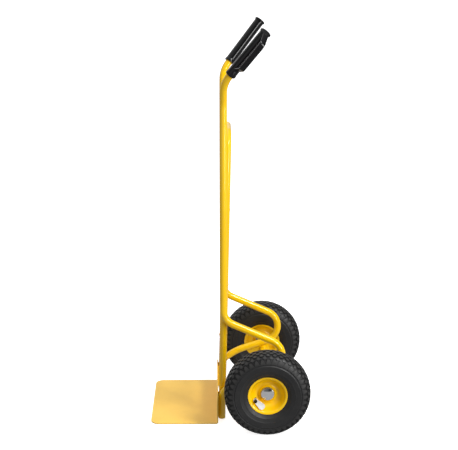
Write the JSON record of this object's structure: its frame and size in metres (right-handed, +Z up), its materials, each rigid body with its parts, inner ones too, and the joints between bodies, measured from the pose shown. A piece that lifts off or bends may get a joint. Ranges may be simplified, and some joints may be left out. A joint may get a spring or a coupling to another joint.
{
  "type": "hand truck",
  "caption": "Upright two-wheeled hand truck with a tube frame, toe plate, guarded grips and air-filled wheels.",
  "frame": {"origin": "on the floor, midway between the wheels and about midway along the depth", "axes": "+Z up; +X towards the left wheel as seen by the person pushing; +Y back towards that person"},
  "size_m": [0.545, 0.486, 1.2105],
  "materials": {
    "frame_paint": "glossy yellow powder coat",
    "rim_paint": "glossy yellow paint on pressed sheet",
    "tyre_rubber": "matt moulded rubber with lugs",
    "tube_rubber": "smooth",
    "valve_rubber": "smooth",
    "grip_plastic": "moulded, fine cross ribs",
    "bare_steel": "zinc plated, turned",
    "cap_chrome": "bright plated",
    "tag_card": "blank white plastic card"
  },
  "bodies": {
    "frame": {"inner_hoop": "frame_paint", "lower_crossbar": "frame_paint", "middle_crossbar": "frame_paint", "upper_crossbar": "frame_paint", "toe_plate": "frame_paint", "axle": "frame_paint", "left_side_tube": "frame_paint", "left_axle_bracket": "frame_paint", "left_grip": "grip_plastic", "left_spacer_sleeve": "frame_paint", "left_inner_washer": "bare_steel", "left_outer_washer": "bare_steel", "left_axle_cap": "cap_chrome", "right_side_tube": "frame_paint", "right_axle_bracket": "frame_paint", "right_grip": "grip_plastic", "right_spacer_sleeve": "frame_paint", "right_inner_washer": "bare_steel", "right_outer_washer": "bare_steel", "right_axle_cap": "cap_chrome"},
    "left_wheel": {"left_tyre": "tyre_rubber", "left_inner_tube": "tube_rubber", "left_rim_outer_pressing": "rim_paint", "left_rim_inner_pressing": "rim_paint", "left_hub": "bare_steel", "left_outer_bearing": "bare_steel", "left_inner_bearing": "bare_steel", "left_valve_stem": "valve_rubber", "left_valve_cap": "grip_plastic", "left_valve_tag": "tag_card"},
    "right_wheel": {"right_tyre": "tyre_rubber", "right_inner_tube": "tube_rubber", "right_rim_outer_pressing": "rim_paint", "right_rim_inner_pressing": "rim_paint", "right_hub": "bare_steel", "right_outer_bearing": "bare_steel", "right_inner_bearing": "bare_steel", "right_valve_stem": "valve_rubber", "right_valve_cap": "grip_plastic", "right_valve_tag": "tag_card"}
  },
  "joints": [
    {"name": "left_wheel_spin", "type": "hinge", "parent": "frame", "child": "left_wheel", "pos_m": [0.23, 0.115, 0.13], "axis": [1, 0, 0], "continuous": true},
    {"name": "right_wheel_spin", "type": "hinge", "parent": "frame", "child": "right_wheel", "pos_m": [-0.23, 0.115, 0.13], "axis": [1, 0, 0], "continuous": true}
  ]
}
